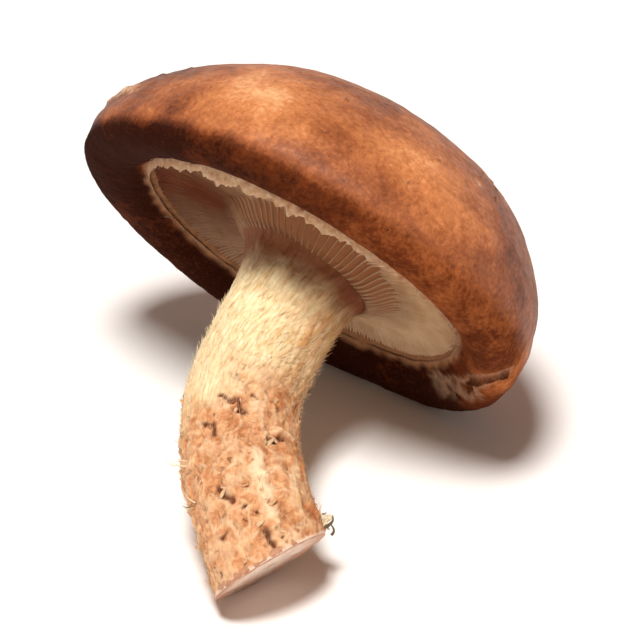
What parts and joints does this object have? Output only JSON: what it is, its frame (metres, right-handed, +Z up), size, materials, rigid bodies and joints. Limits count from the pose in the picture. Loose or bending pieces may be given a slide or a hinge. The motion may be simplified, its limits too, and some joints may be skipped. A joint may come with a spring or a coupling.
{
  "type": "shiitake mushroom",
  "caption": "Fresh shiitake mushroom lying on its side: a domed cap with a rolled-in margin, pale gills beneath it, and a bent, scaly stem with a slanted cut end.",
  "frame": {"origin": "on the surface that the mushroom lies on, under the middle of its bounding box", "axes": "+Z up, -Y towards the cut tip of the stem, +Y towards the crown of the cap, +X to the right when the gills are seen from the front"},
  "size_m": [0.0522, 0.0672, 0.0488],
  "materials": {
    "cap_skin": "satin",
    "gills": "matte",
    "veil": "matte",
    "stem": "matte",
    "cut_flesh": "matte"
  },
  "bodies": {
    "root": {"mushroom": "cap_skin"}
  },
  "joints": []
}
